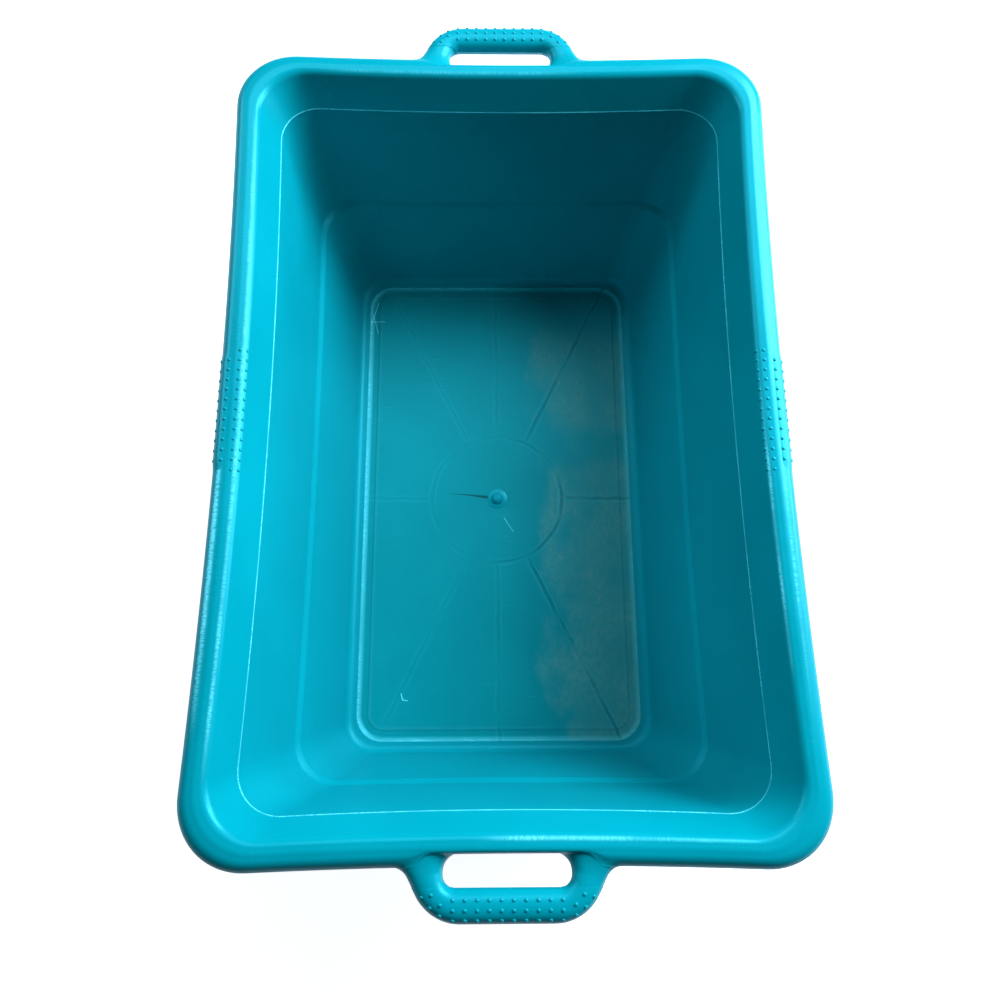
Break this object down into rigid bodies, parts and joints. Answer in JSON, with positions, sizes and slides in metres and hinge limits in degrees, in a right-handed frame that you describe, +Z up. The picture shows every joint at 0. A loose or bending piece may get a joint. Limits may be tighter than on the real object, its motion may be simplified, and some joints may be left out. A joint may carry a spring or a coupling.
{
  "type": "handled tub",
  "caption": "Large rectangular tub with tapered stepped walls, a domed rim with side grips and a closed loop handle at each end.",
  "frame": {"origin": "middle of the footprint, on the surface that the tub stands on", "axes": "+Z up out of the open top, +Y along the tub's length towards its back handle, +X to the right seen from the front"},
  "size_m": [0.534, 0.8554, 0.3266],
  "materials": {
    "tub": "satin, moulded, lightly scuffed",
    "underside": "plain moulded",
    "handles": "satin, moulded with raised dots"
  },
  "bodies": {
    "root": {"rim": "tub", "upper_wall": "tub", "lower_wall": "tub", "floor_pan": "tub", "foot_ring": "underside", "base_ribs": "underside", "gate_nub": "tub", "front_handle_grip": "handles", "front_handle_left_arm": "handles", "front_handle_right_arm": "handles", "back_handle_grip": "handles", "back_handle_left_arm": "handles", "back_handle_right_arm": "handles", "left_side_grip": "handles", "right_side_grip": "handles"}
  },
  "joints": []
}
